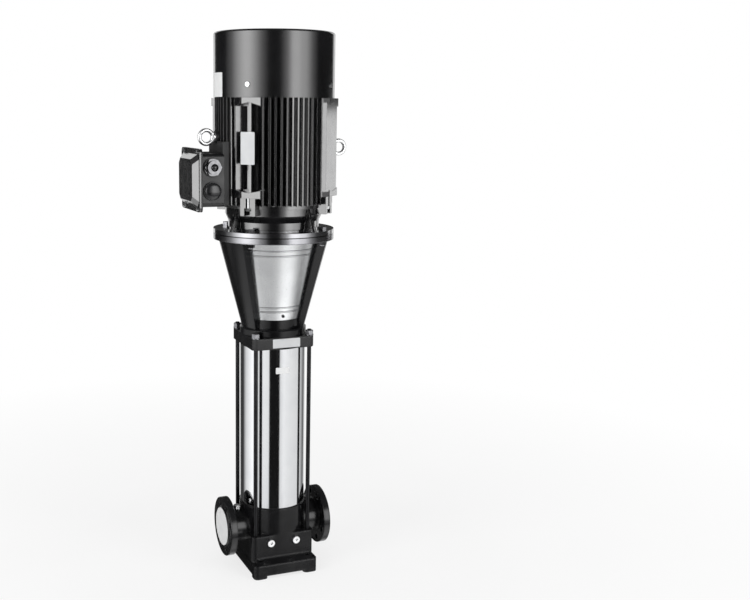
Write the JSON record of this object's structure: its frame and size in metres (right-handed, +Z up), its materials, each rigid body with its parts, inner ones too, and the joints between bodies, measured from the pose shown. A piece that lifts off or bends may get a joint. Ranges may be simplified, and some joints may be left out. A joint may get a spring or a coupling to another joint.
{
  "type": "vertical multistage pump",
  "caption": "Vertical multistage in-line pump: flanged cast base, polished stage sleeve held by staybolts, motor stool with sheet guards and a finned, fan-cooled flange motor.",
  "frame": {"origin": "on the pump and motor shaft axis, in the plane that the four feet stand on", "axes": "+Z up the shaft, +X towards the discharge port (the suction port and the terminal box are at -X), -Y towards the front with the drain plugs and the front guard"},
  "size_m": [0.5625, 0.4, 1.805],
  "materials": {
    "base_casting": "semi-matte black paint",
    "motor_paint": "gloss black paint",
    "cowl_paint": "satin black paint",
    "polished_stainless": "polished",
    "guard_stainless": "satin",
    "plated_steel": "bright zinc plate",
    "hydraulic_stainless": "bright pressed sheet",
    "shaft_steel": "ground",
    "coupling_iron": "machined",
    "seal_metal": "machined",
    "seal_face": "lapped carbon",
    "bronze": "machined",
    "gasket": "matte",
    "lamination": "stacked sheet",
    "copper": "lacquered wire",
    "fan_plastic": "moulded",
    "board_plastic": "moulded",
    "gland_metal": "nickel plate",
    "plate_aluminium": "satin"
  },
  "bodies": {
    "pump_body": {"bearing_outer_rings": "shaft_steel", "blanking_plug": "fan_plastic", "bottom_bearing": "bronze", "cable_gland": "gland_metal", "coupling_guard_front": "guard_stainless", "coupling_guard_rear": "guard_stainless", "cowl_screws": "plated_steel", "discharge_spacer": "hydraulic_stainless", "drive_end_shield": "motor_paint", "eyebolts": "plated_steel", "fan_cowl": "cowl_paint", "guard_screws": "plated_steel", "lid_screws": "plated_steel", "motor_flange_bolts": "plated_steel", "motor_flange_nuts": "plated_steel", "motor_frame": "motor_paint", "motor_stool": "base_casting", "nameplate": "plate_aluminium", "outer_sleeve": "polished_stainless", "pipe_plugs": "plated_steel", "pump_base": "base_casting", "pump_head": "base_casting", "rear_shield": "motor_paint", "seal_cover": "seal_metal", "seal_seat": "seal_face", "shield_bolts": "plated_steel", "sleeve_gaskets": "gasket", "stage_chamber_1": "hydraulic_stainless", "stage_chamber_2": "hydraulic_stainless", "stage_chamber_3": "hydraulic_stainless", "stage_chamber_4": "hydraulic_stainless", "stage_chamber_5": "hydraulic_stainless", "stage_chamber_6": "hydraulic_stainless", "stator_core": "lamination", "stator_windings": "copper", "staybolt_nuts": "plated_steel", "staybolts": "plated_steel", "stool_screws": "plated_steel", "suction_interconnector": "hydraulic_stainless", "terminal_board": "board_plastic", "terminal_box": "motor_paint", "terminal_box_lid": "motor_paint", "vent_plug": "plated_steel"},
    "rotating_assembly": {"pump_shaft": "shaft_steel", "impeller_1": "hydraulic_stainless", "impeller_2": "hydraulic_stainless", "impeller_3": "hydraulic_stainless", "impeller_4": "hydraulic_stainless", "impeller_5": "hydraulic_stainless", "impeller_6": "hydraulic_stainless", "seal_unit": "seal_metal", "coupling_half_left": "coupling_iron", "coupling_half_right": "coupling_iron", "coupling_bolts": "plated_steel", "motor_shaft": "shaft_steel", "rotor_core": "lamination", "cooling_fan": "fan_plastic", "bearing_inner_rings": "shaft_steel"},
    "vent_spindle": {"vent_screw": "plated_steel"}
  },
  "joints": [
    {"name": "shaft_spin", "type": "hinge", "parent": "pump_body", "child": "rotating_assembly", "pos_m": [0, 0, 1], "axis": [0, 0, 1], "continuous": true},
    {"name": "vent_screw_turn", "type": "hinge", "parent": "pump_body", "child": "vent_spindle", "pos_m": [0.062, 0.108, 0.803], "axis": [0, 1, 0], "range_deg": [0, 360]}
  ]
}
